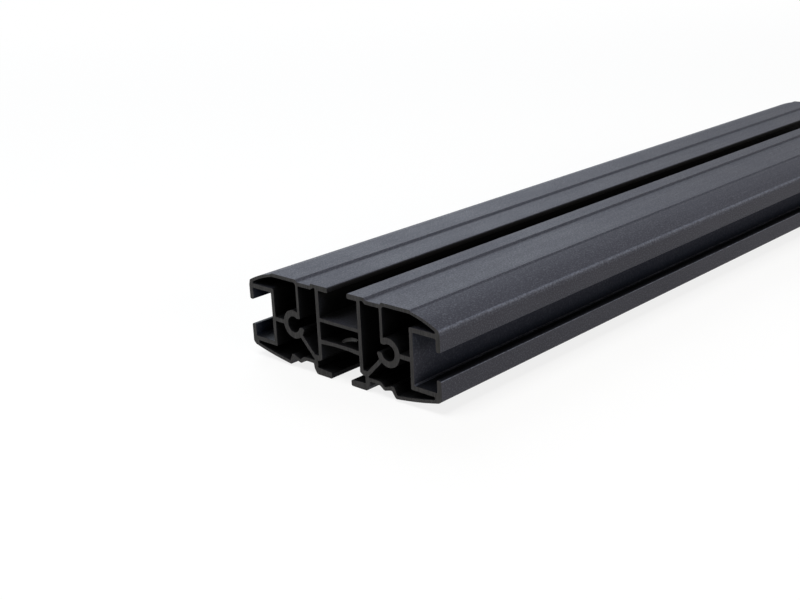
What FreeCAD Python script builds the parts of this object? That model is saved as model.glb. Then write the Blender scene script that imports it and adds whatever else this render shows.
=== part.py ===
import FreeCAD, Part
import math
import os

# Roof rack crossbar: one straight aluminium extrusion with plain saw-cut ends.
# The bar runs along X, its width lies along Y and Z points up. The origin is
# the middle of the length, on the plane that the two lower lips rest on.
# Every length is in millimetres. The section is symmetric about Y = 0.

# Overall size
BAR_LENGTH = 355.0
BAR_WIDTH = 80.0
BAR_HEIGHT = 29.0

# Walls
SIDE_LIP = 1.6          # lips of the two side slots
TOP_LIP = 1.6           # lips of the top slot
LOWER_LIP = 1.9         # lips of the bottom slot, at the mouth
LOWER_LIP_TAPER = 0.35  # how much thicker they are at their roots
CENTRE_WEB = 1.35       # two full-height webs beside the middle
BOX_CEILING = 1.05      # web between the top slot and the middle box
BOX_BASE = 1.4          # web between the middle box and the bottom slot
THIN_WEB = 1.0          # web from the top skin down to each screw port
SLOT_WALL = 1.3         # back wall of each side slot
SHORT_WEB = 1.35        # web from that wall to each screw port
SHELF_WALL = 1.4        # shelves above and below each side slot
DIAGONAL_WEB = 1.3      # slanted web from each screw port down to the foot
DIAGONAL_LEAD = 2.65    # its lower end, from the centre web
FOOT_WALL = 1.6         # flank of the foot, beside the head of the bottom slot
FOOT_TOP = 1.85         # foot above that head
TOP_SKIN = 1.1
BAND_SKIN = 1.2         # skin under the recessed bands
BOTTOM_SKIN = 1.1
LOWER_CORNER = 2.55     # solid corner under each side slot

# T-slots
MOUTH = 8.3             # mouth of all four slots
CORE = 16.2             # inner width of the top slot and of the middle box
TOP_DEPTH = 8.7         # top slot, under its lips
BOTTOM_DEPTH = 8.55     # bottom slot, above its lips
HEAD_WIDTH = 20.4       # widened head of the bottom slot
HEAD_HEIGHT = 2.5
HEAD_RUN = 0.9          # slanted roof of the head, beside the web
HEAD_RISE = 0.35
ROOT_RISE = 0.6         # short slope from there up to the web
SIDE_HEIGHT = 16.1      # side slots, inside
SIDE_DEPTH = 8.6
ROOF_CROWN = 0.9        # rise of the bottom slot's roof towards the middle
BOX_CROWN = 0.4         # rise of the middle box's floor towards the middle

# Top contour
BAND_DEPTH = 0.7        # two recessed bands in the top
BAND_LEAD = 1.75        # from each centre web to its band
BAND_FLANK = 0.4        # width of the band's inner flank
SHOULDER_LEAD = 0.9     # from the slot wall in to the step at the shoulder
SHOULDER_RUN = 0.6
SHOULDER_DROP = 0.45
ARCH_RADIUS = 31.0      # arched shoulder
ARCH_KNEE = (0.547, 0.3)        # where the arch's two tangents meet, as shares
EDGE_RISE = 1.1         # outer edge, above the shelf wall
EDGE_INSET = 0.45
EDGE_FALL = 1.65        # height of the rounded outer edge

# Bottom contour, with its ripples placed from the screw ports
CORNER_DROP = 0.75      # lower outer corner, below the shelf wall
CORNER_RUN = 1.1        # chamfer of that corner
CORNER_FALL = 0.9
WING_LEAD = 2.3         # inner tip of the wing, outwards of the port's axis
WING_TIP = 0.42         # its height
TOE_RUN = 1.6           # flatter toe behind the tip
TOE_RISE = 0.2
WING_KNEE = (0.5, 0.37)         # where the wing's two tangents meet, as shares
WING_RADIUS = 110.0
NOTCH_LEAD = 0.2        # notch, outwards of the port's axis
NOTCH_WIDTH = 0.65
NOTCH_TOP = 2.5
BEAD_LEAD = 2.2         # bead, inwards of the port's axis
BEAD_BOTTOM = 1.85
GROOVE_LEAD = 3.8       # groove, inwards of the port's axis
GROOVE_RUN = 1.2        # its eased outer side
GROOVE_TOP = 3.25
GROOVE_EASE = 0.25
FOOT_RUN = 1.1          # chamfer at the outer bottom of the foot
FOOT_RISE = 1.6

# Screw ports, halfway out on each side
PORT_DROP = 0.35        # axis, below the middle of the height
PORT_BORE = 5.2
PORT_OUTER = 9.1
THIN_LEAD = 2.9         # inner face of the thin web, from the port's axis
HORN_UPPER = 2.2        # underside of the upper horn, above the axis
HORN_LOWER = 0.5        # top of the lower horn, below the axis
HORN_TIP = 0.5

# Small drilled hole in the floor of the middle box, near one end
WEB_HOLE = 4.8
WEB_HOLE_FROM_END = 4.3

# Corner radii left by the die
FINE = 0.3
SOFT = 0.5
FULL = 1.0

# Places that follow from the sizes above
HALF = BAR_WIDTH / 2
WEB_Y = CORE / 2
WEB_OUTER = WEB_Y + CENTRE_WEB
TOP_FLOOR = BAR_HEIGHT - TOP_LIP - TOP_DEPTH
BOX_TOP = TOP_FLOOR - BOX_CEILING
BOTTOM_ROOF = LOWER_LIP + BOTTOM_DEPTH
BOX_FLOOR = BOTTOM_ROOF + BOX_BASE
HEAD_TOP = LOWER_LIP + HEAD_HEIGHT
SIDE_Z = BAR_HEIGHT / 2
SIDE_FACE = HALF - SIDE_LIP
SIDE_BACK = SIDE_FACE - SIDE_DEPTH
WALL_Y = SIDE_BACK - SLOT_WALL
SLOT_TOP = SIDE_Z + SIDE_HEIGHT / 2
SLOT_BOTTOM = SIDE_Z - SIDE_HEIGHT / 2
SHELF_TOP = SLOT_TOP + SHELF_WALL
SHELF_BOTTOM = SLOT_BOTTOM - SHELF_WALL
PORT_Y = HALF / 2
PORT_Z = BAR_HEIGHT / 2 - PORT_DROP
THIN_Y = PORT_Y - THIN_LEAD
BAND_INNER = WEB_OUTER + BAND_LEAD
BAND_OUTER = THIN_Y + THIN_WEB
SHOULDER = SIDE_BACK - SHOULDER_LEAD
EDGE_TOP = SHELF_TOP + EDGE_RISE
CORNER_Z = SHELF_BOTTOM - CORNER_DROP
WING_Y = PORT_Y + WING_LEAD
NOTCH_OUTER = PORT_Y + NOTCH_LEAD + NOTCH_WIDTH
GROOVE_OUTER = PORT_Y - GROOVE_LEAD
FOOT_Y = HEAD_WIDTH / 2 + FOOT_WALL
FOOT_Z = HEAD_TOP + FOOT_TOP


def vec(y, z):
    """Point of the section, at the -X end of the bar."""
    return FreeCAD.Vector(-BAR_LENGTH / 2, y, z)


def between(start, end, shares):
    """Point at the given shares of the way across and up from start to end."""
    y = start[0] + (end[0] - start[0]) * shares[0]
    z = start[1] + (end[1] - start[1]) * shares[1]
    return y, z


def reaches(points):
    """How far each rounded corner reaches along its sides, cut to what the sides allow."""
    places = [vec(y, z) for y, z, _ in points]
    count = len(points)
    wanted = []
    for i, at in enumerate(places):
        to_before = places[i - 1] - at
        to_after = places[(i + 1) % count] - at
        half_angle = to_before.getAngle(to_after) / 2
        wanted.append(points[i][2] / math.tan(half_angle))
    allowed = list(wanted)
    for i, at in enumerate(places):
        j = (i + 1) % count
        side = at.distanceToPoint(places[j])
        needed = wanted[i] + wanted[j]
        if needed > 0.98 * side:
            share = 0.98 * side / needed
            allowed[i] = min(allowed[i], wanted[i] * share)
            allowed[j] = min(allowed[j], wanted[j] * share)
    return places, allowed


def corner(before, at, after, reach):
    """Tangent arc that rounds one corner: its start, middle and end."""
    to_before = (before - at).normalize()
    to_after = (after - at).normalize()
    half_angle = to_before.getAngle(to_after) / 2
    radius = reach * math.tan(half_angle)
    bisector = (to_before + to_after).normalize()
    middle = at + bisector * (radius / math.sin(half_angle) - radius)
    return at + to_before * reach, middle, at + to_after * reach


def outline(points):
    """Closed wire through (y, z, corner radius) points."""
    places, reach = reaches(points)
    count = len(points)
    corners = []
    for i, at in enumerate(places):
        if reach[i] == 0:
            corners.append((at, None, at))
        else:
            corners.append(corner(places[i - 1], at, places[(i + 1) % count], reach[i]))
    edges = []
    for i, (start, middle, end) in enumerate(corners):
        if middle is not None:
            edges.append(Part.Arc(start, middle, end).toShape())
        following = corners[(i + 1) % count][0]
        if end.distanceToPoint(following) > 1e-6:
            edges.append(Part.LineSegment(end, following).toShape())
    return Part.Wire(edges)


def face(points):
    """Flat face inside an outline."""
    return Part.Face(outline(points))


def both_halves(points):
    """Half contour from the middle outwards and back, closed by its mirror image."""
    mirrored = [(-y, z, r) for y, z, r in reversed(points) if y > 0]
    return points + mirrored


def mirror(shape):
    """The same shape on the other side of the bar."""
    return shape.mirror(FreeCAD.Vector(0, 0, 0), FreeCAD.Vector(0, 1, 0))


def disc(diameter):
    """Disc on the axis of the screw port on the +Y side."""
    circle = Part.makeCircle(diameter / 2, vec(PORT_Y, PORT_Z), FreeCAD.Vector(1, 0, 0))
    return Part.Face(Part.Wire([circle]))


def crown_radius(half_width, rise):
    """Radius of the arc that nearly fills a low crown of the given rise."""
    return 0.95 * math.hypot(half_width, rise) * half_width / rise


def arch_knee():
    """Where the two tangents of the arched shoulder meet."""
    start = (SHOULDER + SHOULDER_RUN, BAR_HEIGHT - SHOULDER_DROP)
    return between(start, (HALF - EDGE_INSET, EDGE_TOP), ARCH_KNEE)


def wing_points():
    """Toe, knee and outer end of the wing's underside."""
    toe = (WING_Y + TOE_RUN, WING_TIP + TOE_RISE)
    end = (HALF - CORNER_RUN, CORNER_Z - CORNER_FALL)
    return toe, between(toe, end, WING_KNEE), end


def diagonal_face(z, side):
    """Y of the slanted web's face at height z. Side is 1 for its lower face, -1 for the upper."""
    foot_y = WEB_OUTER + DIAGONAL_LEAD
    across = PORT_Y - foot_y
    up = PORT_Z - FOOT_Z
    half_width = DIAGONAL_WEB / 2 * math.hypot(across, up) / up
    return foot_y + (z - FOOT_Z) * across / up + side * half_width


def top_contour():
    """Top slot, top skin with its bands, arched shoulder and rounded outer edge."""
    lip_z = BAR_HEIGHT - TOP_LIP
    band_z = BAR_HEIGHT - BAND_DEPTH
    knee_y, knee_z = arch_knee()
    return [
        (0, TOP_FLOOR, 0),
        (WEB_Y, TOP_FLOOR, FINE),
        (WEB_Y, lip_z, FINE),
        (MOUTH / 2, lip_z, FINE),
        (MOUTH / 2, BAR_HEIGHT, SOFT),
        (BAND_INNER, BAR_HEIGHT, FINE),
        (BAND_INNER + BAND_FLANK, band_z, FINE),
        (BAND_OUTER - BAND_DEPTH, band_z, FINE),
        (BAND_OUTER, BAR_HEIGHT, FINE),
        (SHOULDER, BAR_HEIGHT, FINE),
        (SHOULDER + SHOULDER_RUN, BAR_HEIGHT - SHOULDER_DROP, FINE),
        (knee_y, knee_z, ARCH_RADIUS),
        (HALF - EDGE_INSET, EDGE_TOP, SOFT),
        (HALF, EDGE_TOP - EDGE_FALL, 2 * FULL),
    ]


def side_contour():
    """One side slot, from its upper lip to the lower outer corner."""
    mouth_top = SIDE_Z + MOUTH / 2
    mouth_bottom = SIDE_Z - MOUTH / 2
    return [
        (HALF, mouth_top, SOFT),
        (SIDE_FACE, mouth_top, SOFT),
        (SIDE_FACE, SLOT_TOP, FINE),
        (SIDE_BACK, SLOT_TOP, FINE),
        (SIDE_BACK, SLOT_BOTTOM, FINE),
        (SIDE_FACE, SLOT_BOTTOM, FINE),
        (SIDE_FACE, mouth_bottom, FINE),
        (HALF, mouth_bottom, SOFT),
        (HALF, CORNER_Z, FULL),
    ]


def bottom_contour():
    """Wing, notch, bead and groove of the underside, in to the foot."""
    toe, knee, end = wing_points()
    return [
        (*end, FULL),
        (*knee, WING_RADIUS),
        (*toe, 2 * FULL),
        (WING_Y, WING_TIP, FULL),
        (NOTCH_OUTER, NOTCH_TOP, FINE),
        (PORT_Y + NOTCH_LEAD, NOTCH_TOP, SOFT),
        (PORT_Y - BEAD_LEAD, BEAD_BOTTOM, FULL),
        (GROOVE_OUTER, GROOVE_TOP - GROOVE_EASE, FULL),
        (GROOVE_OUTER - GROOVE_RUN, GROOVE_TOP, FULL),
        (FOOT_Y + GROOVE_EASE, GROOVE_TOP, FINE),
        (FOOT_Y, FOOT_RISE, FULL),
        (FOOT_Y - FOOT_RUN, 0, FULL),
    ]


def foot_contour():
    """Lip and head of the bottom slot, up to its crowned roof."""
    root_z = HEAD_TOP + HEAD_RISE
    return [
        (MOUTH / 2, 0, SOFT),
        (MOUTH / 2, LOWER_LIP, SOFT),
        (HEAD_WIDTH / 2, LOWER_LIP + LOWER_LIP_TAPER, FINE),
        (HEAD_WIDTH / 2, HEAD_TOP, FINE),
        (WEB_Y + HEAD_RUN, root_z, SOFT),
        (WEB_Y, root_z + ROOT_RISE, FINE),
        (WEB_Y, BOTTOM_ROOF, FINE),
        (0, BOTTOM_ROOF + ROOF_CROWN, crown_radius(WEB_Y, ROOF_CROWN)),
    ]


def outer_contour():
    """Outer contour with the four slots, from the top slot round to the bottom one."""
    half = top_contour() + side_contour() + bottom_contour() + foot_contour()
    return face(both_halves(half))


def middle_box():
    """Closed box between the two centre webs. Its floor is slightly crowned."""
    return face(both_halves([
        (0, BOX_TOP, 0),
        (WEB_Y, BOX_TOP, FINE),
        (WEB_Y, BOX_FLOOR, FINE),
        (0, BOX_FLOOR + BOX_CROWN, crown_radius(WEB_Y, BOX_CROWN)),
    ]))


def upper_chamber():
    """Chamber under the arched shoulder, above the short web and the screw port."""
    ceiling = BAR_HEIGHT - TOP_SKIN
    web_top = PORT_Z + SHORT_WEB / 2
    thin_outer = THIN_Y + THIN_WEB
    knee_y, knee_z = arch_knee()
    room = face([
        (thin_outer, web_top, 0),
        (thin_outer, ceiling, FULL),
        (SHOULDER, ceiling, 2 * FULL),
        (knee_y - FINE, knee_z - TOP_SKIN, ARCH_RADIUS - TOP_SKIN),
        (SIDE_FACE, EDGE_TOP - EDGE_RISE / 2, FINE),
        (SIDE_FACE - FINE, SHELF_TOP, FINE),
        (WALL_Y, SHELF_TOP, SOFT),
        (WALL_Y, web_top, FINE),
    ])
    return [room.cut(disc(PORT_OUTER))]


def lower_chamber():
    """Chamber below the short web and the port, down to the rippled bottom skin."""
    toe, knee, end = wing_points()
    skin = BOTTOM_SKIN
    web_bottom = PORT_Z - SHORT_WEB / 2
    corner_y = HALF - LOWER_CORNER
    corner_z = between(knee, end, [(corner_y - knee[0]) / (end[0] - knee[0])] * 2)[1]
    room = face([
        (diagonal_face(web_bottom, 1), web_bottom, 0),
        (WALL_Y, web_bottom, FINE),
        (WALL_Y, SHELF_BOTTOM, FINE),
        (corner_y, SHELF_BOTTOM, FINE),
        (corner_y, corner_z + skin, FINE),
        (knee[0], knee[1] + skin, WING_RADIUS - skin),
        (toe[0], toe[1] + skin, FULL),
        (WING_Y + skin / 2, WING_TIP + skin, SOFT),
        (NOTCH_OUTER + 0.8 * skin, NOTCH_TOP + 1.4 * skin, FINE),
        (NOTCH_OUTER, NOTCH_TOP + 1.4 * skin, SOFT),
        (PORT_Y - BEAD_LEAD + FINE, BEAD_BOTTOM + skin, SOFT),
        (GROOVE_OUTER + SOFT, GROOVE_TOP - GROOVE_EASE + skin, SOFT),
        (GROOVE_OUTER - GROOVE_RUN + FINE, GROOVE_TOP + skin, FULL),
        (diagonal_face(GROOVE_TOP + skin, 1), GROOVE_TOP + skin, FINE),
    ])
    return [room.cut(disc(PORT_OUTER))]


def inner_chamber():
    """Tall chamber beside the centre web, and the screw port that opens into it."""
    ceiling = BAR_HEIGHT - BAND_DEPTH - BAND_SKIN
    room = face([
        (WEB_OUTER, FOOT_Z, SOFT),
        (WEB_OUTER, BAR_HEIGHT - TOP_SKIN, FINE),
        (BAND_INNER - 2 * BAND_FLANK, BAR_HEIGHT - TOP_SKIN, FINE),
        (BAND_INNER + BAND_FLANK / 2, ceiling, SOFT),
        (THIN_Y, ceiling, FINE),
        (THIN_Y, PORT_Z, 0),
        (diagonal_face(PORT_Z, -1), PORT_Z, 0),
        (diagonal_face(FOOT_Z, -1), FOOT_Z, SOFT),
    ])
    low = PORT_Z - HORN_LOWER
    high = PORT_Z + HORN_UPPER
    top = PORT_Z + PORT_OUTER / 2 + THIN_WEB
    mouth = face([
        (THIN_Y - THIN_LEAD, low, 0),
        (PORT_Y, low, 0),
        (PORT_Y, high, 0),
        (THIN_Y, high, 0),
        (THIN_Y, top, 0),
        (THIN_Y - THIN_LEAD, top, 0),
    ])
    return [room.cut(disc(PORT_OUTER)), mouth, disc(PORT_BORE)]


def horn_edges(solid):
    """Long edges at the tips of the two horns of each screw port."""
    low = PORT_Z - HORN_LOWER
    outer = math.sqrt((PORT_OUTER / 2) ** 2 - HORN_LOWER ** 2)
    inner = math.sqrt((PORT_BORE / 2) ** 2 - HORN_LOWER ** 2)
    tips = [
        (THIN_Y, PORT_Z + HORN_UPPER),
        (PORT_Y - outer, low),
        (PORT_Y - inner, low),
    ]
    found = []
    for edge in solid.Edges:
        centre = edge.CenterOfMass
        if edge.Length < 0.9 * BAR_LENGTH:
            continue
        for y, z in tips:
            if math.hypot(abs(centre.y) - y, centre.z - z) < 0.1:
                found.append(edge)
    return found


def crossbar_extrusion():
    """The bar: the section pushed along X, with the horn tips rounded."""
    section = outer_contour().cut(middle_box())
    for pocket in upper_chamber() + lower_chamber() + inner_chamber():
        section = section.cut(pocket).cut(mirror(pocket))
    bar = section.extrude(FreeCAD.Vector(BAR_LENGTH, 0, 0))
    if bar.ShapeType != "Solid":
        bar = bar.Solids[0]
    bar = bar.makeFillet(HORN_TIP, horn_edges(bar))
    hole_x = -BAR_LENGTH / 2 + WEB_HOLE_FROM_END
    base = FreeCAD.Vector(hole_x, 0, BOTTOM_ROOF - BOX_BASE)
    drill = Part.makeCylinder(WEB_HOLE / 2, 3 * BOX_BASE, base)
    return bar.cut(drill).removeSplitter()


os.makedirs("parts", exist_ok=True)
bar = crossbar_extrusion()
if len(bar.Solids) == 1:
    bar = bar.Solids[0]
print("valid", bar.isValid(), "solids", len(bar.Solids), "faces", len(bar.Faces))
box = bar.BoundBox
print("box", box.XMin, box.XMax, box.YMin, box.YMax, box.ZMin, box.ZMax)
print("section area", bar.Volume / BAR_LENGTH)
bar.exportStep("parts/crossbar_extrusion.step")
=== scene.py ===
import math

import bpy
from mathutils import Matrix, Vector


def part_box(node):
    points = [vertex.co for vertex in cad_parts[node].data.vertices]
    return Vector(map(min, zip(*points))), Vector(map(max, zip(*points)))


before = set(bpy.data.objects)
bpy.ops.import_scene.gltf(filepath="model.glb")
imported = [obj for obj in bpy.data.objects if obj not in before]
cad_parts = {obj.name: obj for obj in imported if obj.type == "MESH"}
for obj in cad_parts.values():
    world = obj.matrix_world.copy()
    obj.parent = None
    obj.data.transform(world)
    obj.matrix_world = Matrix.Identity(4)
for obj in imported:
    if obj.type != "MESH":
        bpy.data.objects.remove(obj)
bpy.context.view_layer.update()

BAR = "crossbar_extrusion"
LOW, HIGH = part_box(BAR)
HALF_LENGTH = (HIGH[0] - LOW[0]) / 2
HALF_WIDTH = (HIGH[1] - LOW[1]) / 2
HEIGHT = HIGH[2] - LOW[2]

# The camera, fitted to the 800 x 600 photograph: metres, degrees, and millimetres for the lens
CAMERA_AT = (-0.4041, -0.2429, 0.1382)
HEADING = math.radians(43.793)      # from +X towards +Y
DOWN = math.radians(18.807)
ROLL = math.radians(-2.560)
LENS = 53.694
SENSOR = 36.0
NEAREST = 0.01                # nothing closer to the camera than this is drawn

# Linear colours of the coat, of its painted highlight and painted shade, of the saw cuts and of the
# drilled wall
COAT_DARK = (0.031, 0.032, 0.040, 1.0)
COAT_LIGHT = (0.038, 0.039, 0.048, 1.0)
COAT_SPECK = (0.077, 0.079, 0.094, 1.0)
# painted highlight along the outer edges, the steps and the side slots' corners
EDGE_HIGHLIGHT = (0.112, 0.121, 0.148, 1.0)
# painted shade deep in the chambers
HOLLOW_SHADE = (0.003, 0.003, 0.003, 1.0)
# bluish painted shade in the side slots
SLOT_SHADE = (0.000, 0.003, 0.010, 1.0)
CUT_DARK = (0.036, 0.035, 0.034, 1.0)
CUT_LIGHT = (0.057, 0.055, 0.054, 1.0)
HOLE_BARE = (0.130, 0.130, 0.128, 1.0)

# Places on the bar
END_SKIN = 0.0002             # the cut faces lie within this of the bar's ends
MOUTH_Y = 0.0045              # the lips of the middle slots face each other within this
CHAMBER_Y = HALF_WIDTH - 0.0105    # the closed chambers lie within this of the middle plane
TOP_Z = HEIGHT - 0.0010       # only the top skin lies above this
SLOT_MIDDLE = HEIGHT / 2      # height of the middle of both side slots
SLOT_REACH = 0.0087           # their walls lie within this of it
SHELTER_TOP = 0.0125          # the upward faces inside the side slots lie below this
SHELF_CORNER = (HALF_WIDTH - 0.0100, 0.0066)    # lower inner corner of each side slot: |y| and z
FILLET_REACH = 0.0003
RIM_Y = (HALF_WIDTH - 0.0009, HALF_WIDTH - 0.0006)    # the rounded outer edges begin between these
RIM_Z = (HEIGHT - 0.0049, HEIGHT - 0.0042)      # the painted highlight band of the upper ones begins between these
HOLE_CENTRE = (LOW[0] + 0.0043, 0.0, 0.01115)
HOLE_REACH = 0.0026           # takes in the drilled wall alone

# Parts of a skin's normal along X, Y or Z, each pair from where an effect begins to where it is full
FACING_END = 0.9              # the cut faces look along X by more than this
FACING_SLOT = (0.5, 0.9)      # lips of the middle slots, where they face each other
FACING_STEP = (0.5, 0.8)      # walls of the steps in the top skin
FACING_UP = (0.60, 0.95)      # upward faces inside the side slots
TURNING_UP = (0.24, 0.42)     # rounded upper edge of the lower side, from its side face
TURNED_UP = (0.88, 0.68)      # and from its top face

# Ambient occlusion, from 0 on a shut-in skin to 1 on an open one, which sets the painted shade
HOLLOW_REACH = 0.025          # metres that it looks
HOLLOW_SAMPLES = 12
OPEN_OUTSIDE = 0.89           # no painted shade from here on
OPEN_INSIDE = 0.96            # the same within CHAMBER_Y
SHUT_INSIDE = 0.48            # all painted shade below this within CHAMBER_Y

# Shares of a full effect
LIP_SHADE = 0.7
SHELTER_SHADE = 0.85
# the next three are shares of the painted highlight
CORNER_HIGHLIGHT = 0.5
STEP_HIGHLIGHT = 0.25
LEAST_HIGHLIGHT = 0.35
SPECK_SHARE = 0.66

# Scales of the noises per metre, one for each axis where the noise is drawn out
GRAIN = 2200.0
PEBBLE = 950.0
PATCHES = 45.0
DIE_LINES = (4.0, 900.0, 900.0)
SAW_MARKS = (1.0, 2400.0, 160.0)
FINE_DETAIL = 2.0
COARSE_DETAIL = 3.0

# The values of a noise between which its effect grows
NOISE_SPAN = (0.3, 0.7)
SAW_SPAN = (0.35, 0.65)
SPECK_SPAN = (0.49, 0.73)
HIGHLIGHT_SPAN = (0.82, 1.18)       # of the sum of two noises

COAT_ROUGHNESS = 0.54
PATCH_ROUGHNESS = (-0.04, 0.04)     # this pair and the next two are added to it
DIE_ROUGHNESS = (-0.03, 0.03)
GRAIN_ROUGHNESS = (0.08, -0.08)
CUT_ROUGHNESS = (0.50, 0.64)
IOR = 1.45
SPECULAR = 0.06
BUMP = 0.90
BUMP_DEPTH = 0.00006
GRAIN_HEIGHT = 0.4
PEBBLE_HEIGHT = 0.6
DIE_HEIGHT = 0.15
SAW_HEIGHT = 0.7

# The studio
WHITE = (1.0, 1.0, 1.0, 1.0)
WORLD_FILL = 0.06             # strength with which the white world lights the bar
FLOOR_HALF = 3.0
FLOOR_GAP = 0.0002            # the floor lies this far under the bar
FLOOR_COLOUR = (0.94, 0.92, 0.86, 1.0)
FLOOR_WHITE = 0.82            # near the bar; the floor is all white from FLOOR_FADE[1] metres on
FLOOR_FADE = (0.35, 1.10)
LAMPS = (
    # name, place, target, width, height, power, colour
    ("key", (0.92, 1.32, 1.10), (-0.05, 0.0, 0.0), 1.3, 1.3, 24.3, (0.80, 0.88, 1.0)),
    ("over", (-0.42, 0.05, 1.10), (-0.10, 0.0, 0.0), 0.6, 0.6, 11.0, (0.92, 0.94, 1.0)),
    ("low_near", (-0.30, -1.20, 0.31), (-0.10, -0.04, 0.02), 0.65, 0.46, 4.9, (0.93, 0.96, 1.0)),
    ("low_far", (0.42, -1.20, 0.31), (0.05, -0.04, 0.02), 0.65, 0.46, 5.0, (1.0, 0.84, 0.68)),
)


class Graph:
    """Adds nodes to one node tree and joins them. Its sums work on sockets and plain numbers."""

    def __init__(self, owner):
        owner.use_nodes = True
        self.tree = owner.node_tree
        self.tree.nodes.clear()

    def put(self, value, socket):
        if isinstance(value, bpy.types.NodeSocket):
            self.tree.links.new(value, socket)
        else:
            socket.default_value = value

    def node(self, kind, inputs=None, **settings):
        made = self.tree.nodes.new(kind)
        for key, value in settings.items():
            setattr(made, key, value)
        for key, value in (inputs or {}).items():
            self.put(value, made.inputs[key])
        return made

    def math(self, operation, a, b=0.0):
        return self.node("ShaderNodeMath", {0: a, 1: b}, operation=operation).outputs[0]

    def plus(self, a, b):
        return self.math("ADD", a, b)

    def times(self, a, b):
        return self.math("MULTIPLY", a, b)

    def larger(self, a, b):
        return self.math("MAXIMUM", a, b)

    def above(self, value, limit):
        """1 where the value is above the limit, 0 elsewhere."""
        return self.math("GREATER_THAN", value, limit)

    def below(self, value, limit):
        """1 where the value is below the limit, 0 elsewhere."""
        return self.math("LESS_THAN", value, limit)

    def size(self, value):
        return self.math("ABSOLUTE", value)

    def rest(self, share):
        """What the share leaves of 1."""
        return self.math("SUBTRACT", 1.0, share)

    def near(self, value, centre, reach):
        """1 where the value is within the reach of the centre, 0 elsewhere."""
        return self.below(self.size(self.math("SUBTRACT", value, centre)), reach)

    def remap(self, value, span, results=(0.0, 1.0)):
        """Goes evenly from the first result to the second as the value crosses the span."""
        made = self.node("ShaderNodeMapRange", {
            "Value": value, "From Min": span[0], "From Max": span[1],
            "To Min": results[0], "To Max": results[1]})
        return made.outputs["Result"]

    def split(self, vector):
        """The three parts of a vector."""
        return self.node("ShaderNodeSeparateXYZ", {0: vector}).outputs

    def noise(self, place, scale, detail):
        made = self.node("ShaderNodeTexNoise", {"Vector": place, "Scale": scale, "Detail": detail})
        return made.outputs[0]

    def drawn_out_noise(self, place, scales, detail):
        """Noise with a scale of its own along each axis."""
        stretched = self.node("ShaderNodeVectorMath", {0: place, 1: scales}, operation="MULTIPLY")
        return self.noise(stretched.outputs[0], 1.0, detail)

    def mix_colour(self, share, a, b):
        made = self.node("ShaderNodeMix", {0: share}, data_type="RGBA")
        self.put(a, made.inputs[6])
        self.put(b, made.inputs[7])
        return made.outputs[2]

    def seen(self):
        """1 for rays seen straight, mirrored or through glass, 0 for those that light a surface."""
        rays = self.node("ShaderNodeLightPath")
        mirrored = self.larger(rays.outputs["Is Camera Ray"], rays.outputs["Is Glossy Ray"])
        return self.larger(mirrored, rays.outputs["Is Transmission Ray"])


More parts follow.
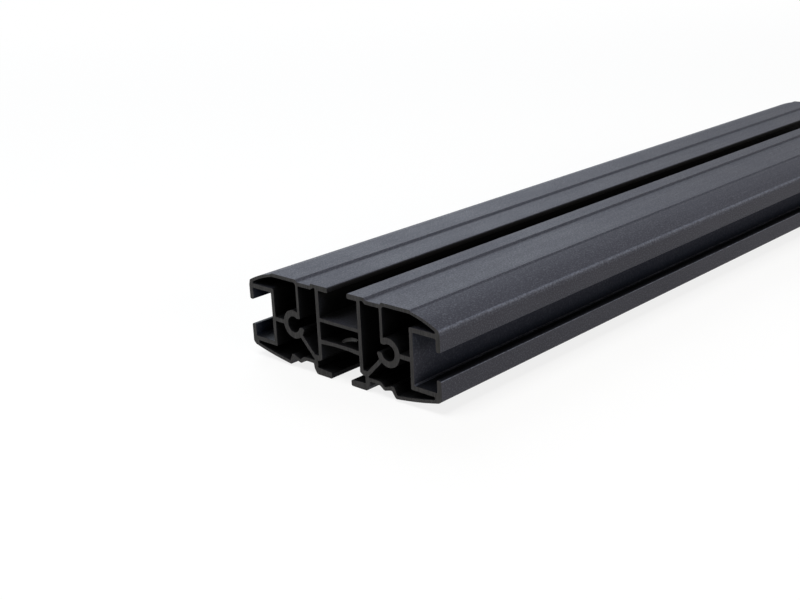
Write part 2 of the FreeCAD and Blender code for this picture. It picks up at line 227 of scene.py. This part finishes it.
class Coat(Graph):
    """Fine-textured black powder coat with faint die lines along X, saw cuts and one drilled hole, with
    painted shade in its hollows and painted highlights along its edges.
    """

    def __init__(self, material):
        super().__init__(material)
        place = self.node("ShaderNodeTexCoord")
        self.at = place.outputs["Object"]
        x, y, self.z = self.split(self.at)
        normal_x, normal_y, self.upward = self.split(place.outputs["Normal"])
        self.side_y = self.size(y)
        self.sideways = self.size(normal_y)

        at_end = self.above(self.size(x), HALF_LENGTH - END_SKIN)
        self.cut = self.times(self.above(self.size(normal_x), FACING_END), at_end)
        self.inner = self.below(self.side_y, CHAMBER_Y)
        self.mouth = self.below(self.side_y, MOUTH_Y)
        self.top_skin = self.times(self.above(self.z, TOP_Z), self.rest(self.mouth))
        # painted shade on the shelves inside the side slots
        self.shaded_shelves = self.shelf_shade()
        self.corner = self.shelf_corner()

        self.grain = self.noise(self.at, GRAIN, FINE_DETAIL)
        self.pebble = self.noise(self.at, PEBBLE, FINE_DETAIL)
        self.patches = self.noise(self.at, PATCHES, COARSE_DETAIL)
        self.die_lines = self.drawn_out_noise(self.at, DIE_LINES, COARSE_DETAIL)
        self.saw = self.drawn_out_noise(self.at, SAW_MARKS, COARSE_DETAIL)

    def shelf_shade(self):
        """Share of painted shade on the upward faces inside the side slots, under the flange."""
        low_outside = self.times(self.below(self.z, SHELTER_TOP), self.rest(self.inner))
        return self.times(low_outside, self.remap(self.upward, FACING_UP, (0.0, SHELTER_SHADE)))

    def shelf_corner(self):
        """1 in the lower inner corner of both side slots, where a painted highlight lies."""
        corner_y, corner_z = SHELF_CORNER
        return self.times(self.near(self.side_y, corner_y, FILLET_REACH),
                          self.near(self.z, corner_z, FILLET_REACH))

    def unshaded_share(self):
        """Share of the plain coat against painted shade: 1 on open skins, falling to 0 deep in the
        chambers and slots; painted shade also darkens the facing lips of the middle slot and the
        shelves, and the shelf corners are kept light.
        """
        air = self.node("ShaderNodeAmbientOcclusion", {"Distance": HOLLOW_REACH},
                        samples=HOLLOW_SAMPLES, only_local=True)
        shut = self.times(self.inner, SHUT_INSIDE)
        fully_open = self.remap(self.inner, (0.0, 1.0), (OPEN_OUTSIDE, OPEN_INSIDE))
        unshaded_share = self.remap(air.outputs["AO"], (shut, fully_open))
        # painted shade on the facing lips of the middle slot
        lips = self.times(self.mouth, self.remap(self.sideways, FACING_SLOT, (0.0, LIP_SHADE)))
        unshaded_share = self.times(unshaded_share, self.rest(lips))
        unshaded_share = self.larger(unshaded_share, self.top_skin)
        unshaded_share = self.times(unshaded_share, self.rest(self.shaded_shelves))
        # the shelf corners keep a painted highlight out of the painted shade
        return self.larger(unshaded_share, self.corner)

    def painted_highlights(self):
        """Share of painted highlight along the outer edges, the walls of the steps and the slots'
        corners, broken up by noise.
        """
        outermost = self.remap(self.side_y, RIM_Y)
        lower_line = self.times(self.remap(self.upward, TURNING_UP), self.remap(self.upward, TURNED_UP))
        upper_band = self.remap(self.z, RIM_Z)
        edges = self.times(outermost, self.larger(upper_band, lower_line))
        edges = self.larger(edges, self.times(self.corner, CORNER_HIGHLIGHT))
        steps = self.times(self.top_skin, self.remap(self.sideways, FACING_STEP, (0.0, STEP_HIGHLIGHT)))
        edges = self.larger(edges, steps)
        broken = self.remap(self.plus(self.grain, self.pebble), HIGHLIGHT_SPAN, (LEAST_HIGHLIGHT, 1.0))
        return self.times(edges, broken)

    def shade_colour(self):
        """Colour of the painted shade: bluish in the side slots, neutral in the chambers."""
        in_slot = self.times(self.near(self.z, SLOT_MIDDLE, SLOT_REACH), self.rest(self.inner))
        in_slot = self.times(in_slot, self.rest(self.shaded_shelves))
        return self.mix_colour(in_slot, HOLLOW_SHADE, SLOT_SHADE)

    def colour(self):
        plain = self.mix_colour(self.remap(self.patches, NOISE_SPAN), COAT_DARK, COAT_LIGHT)
        specks = self.remap(self.grain, SPECK_SPAN, (0.0, SPECK_SHARE))
        speckled = self.mix_colour(specks, plain, COAT_SPECK)
        # painted highlight along the edges, the steps and the shelf corners
        with_highlights = self.mix_colour(self.painted_highlights(), speckled, EDGE_HIGHLIGHT)
        # painted shade in the chambers and slots
        shaded = self.mix_colour(self.unshaded_share(), self.shade_colour(), with_highlights)
        sawn = self.mix_colour(self.remap(self.saw, SAW_SPAN), CUT_DARK, CUT_LIGHT)
        outside = self.mix_colour(self.cut, shaded, sawn)
        from_hole = self.node("ShaderNodeVectorMath", {0: self.at, 1: HOLE_CENTRE}, operation="DISTANCE")
        drilled = self.below(from_hole.outputs["Value"], HOLE_REACH)
        return self.mix_colour(drilled, outside, HOLE_BARE)

    def coat_or_cut(self, on_coat, on_cut):
        """The first value on the coat, the second on the saw cuts."""
        return self.plus(self.times(on_coat, self.rest(self.cut)), self.times(on_cut, self.cut))

    def roughness(self):
        rough = self.plus(COAT_ROUGHNESS, self.remap(self.patches, NOISE_SPAN, PATCH_ROUGHNESS))
        rough = self.plus(rough, self.remap(self.die_lines, NOISE_SPAN, DIE_ROUGHNESS))
        rough = self.plus(rough, self.remap(self.grain, NOISE_SPAN, GRAIN_ROUGHNESS))
        return self.coat_or_cut(rough, self.remap(self.saw, NOISE_SPAN, CUT_ROUGHNESS))

    def bump(self):
        height = self.plus(self.times(self.grain, GRAIN_HEIGHT), self.times(self.pebble, PEBBLE_HEIGHT))
        height = self.plus(height, self.times(self.die_lines, DIE_HEIGHT))
        height = self.coat_or_cut(height, self.times(self.saw, SAW_HEIGHT))
        made = self.node("ShaderNodeBump", {"Strength": BUMP, "Distance": BUMP_DEPTH, "Height": height})
        return made.outputs[0]


def powder_coat():
    material = bpy.data.materials.new("powder_coat_black")
    g = Coat(material)
    shader = g.node("ShaderNodeBsdfPrincipled", {
        "Base Color": g.colour(), "Roughness": g.roughness(), "Normal": g.bump(),
        "IOR": IOR, "Specular IOR Level": SPECULAR})
    g.node("ShaderNodeOutputMaterial", {"Surface": shader.outputs[0]})
    return material


def pale_floor():
    """Plain pale floor: near white for the camera and in reflections, with the bar's soft shadow."""
    material = bpy.data.materials.new("floor_pale")
    g = Graph(material)
    place = g.node("ShaderNodeTexCoord")
    away = g.node("ShaderNodeVectorMath", {0: place.outputs["Object"]}, operation="LENGTH")
    white = g.remap(away.outputs["Value"], FLOOR_FADE, (FLOOR_WHITE, 1.0))
    plain = g.node("ShaderNodeBsdfDiffuse", {"Color": FLOOR_COLOUR})
    bright = g.node("ShaderNodeEmission", {"Color": WHITE, "Strength": 1.0})
    mixed = g.node("ShaderNodeMixShader", {
        0: g.times(g.seen(), white), 1: plain.outputs[0], 2: bright.outputs[0]})
    g.node("ShaderNodeOutputMaterial", {"Surface": mixed.outputs[0]})
    return material


def add_floor():
    """A plain square just under the bar, part of the stage and not of the object."""
    mesh = bpy.data.meshes.new("floor")
    z = LOW[2] - FLOOR_GAP
    corners = [(-FLOOR_HALF, -FLOOR_HALF, z), (FLOOR_HALF, -FLOOR_HALF, z),
               (FLOOR_HALF, FLOOR_HALF, z), (-FLOOR_HALF, FLOOR_HALF, z)]
    mesh.from_pydata(corners, [], [(0, 1, 2, 3)])
    floor = bpy.data.objects.new("floor", mesh)
    bpy.context.scene.collection.objects.link(floor)
    floor.data.materials.append(pale_floor())


def add_world():
    """White background, and a soft even fill on the bar."""
    world = bpy.data.worlds.new("studio")
    bpy.context.scene.world = world
    g = Graph(world)
    strength = g.remap(g.seen(), (0.0, 1.0), (WORLD_FILL, 1.0))
    back = g.node("ShaderNodeBackground", {"Color": WHITE, "Strength": strength})
    g.node("ShaderNodeOutputWorld", {"Surface": back.outputs[0]})


def add_lamp(name, at, target, width, height, power, colour):
    """One soft rectangular lamp, turned to its target."""
    lamp = bpy.data.lights.new(name, "AREA")
    lamp.shape = "RECTANGLE"
    lamp.size = width
    lamp.size_y = height
    lamp.energy = power
    lamp.color = colour
    made = bpy.data.objects.new(name, lamp)
    bpy.context.scene.collection.objects.link(made)
    made.location = at
    aim = Vector(target) - Vector(at)
    made.rotation_euler = aim.to_track_quat("-Z", "Y").to_euler()


def add_camera():
    """The photograph's own view."""
    camera = bpy.data.cameras.new("camera")
    camera.lens = LENS
    camera.sensor_fit = "HORIZONTAL"
    camera.sensor_width = SENSOR
    camera.clip_start = NEAREST
    made = bpy.data.objects.new("camera", camera)
    bpy.context.scene.collection.objects.link(made)
    forward = Vector((math.cos(DOWN) * math.cos(HEADING), math.cos(DOWN) * math.sin(HEADING),
                      -math.sin(DOWN)))
    level = forward.cross(Vector((0.0, 0.0, 1.0))).normalized()
    upright = level.cross(forward)
    right = math.cos(ROLL) * level + math.sin(ROLL) * upright
    up = -math.sin(ROLL) * level + math.cos(ROLL) * upright
    turn = Matrix((right, up, -forward)).transposed().to_4x4()
    made.matrix_world = Matrix.Translation(CAMERA_AT) @ turn
    bpy.context.scene.camera = made


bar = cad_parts[BAR]
coat = powder_coat()
for slot in bar.material_slots:
    slot.material = coat

add_floor()
add_world()
for lamp in LAMPS:
    add_lamp(*lamp)
add_camera()
bpy.context.scene.view_settings.view_transform = "Standard"
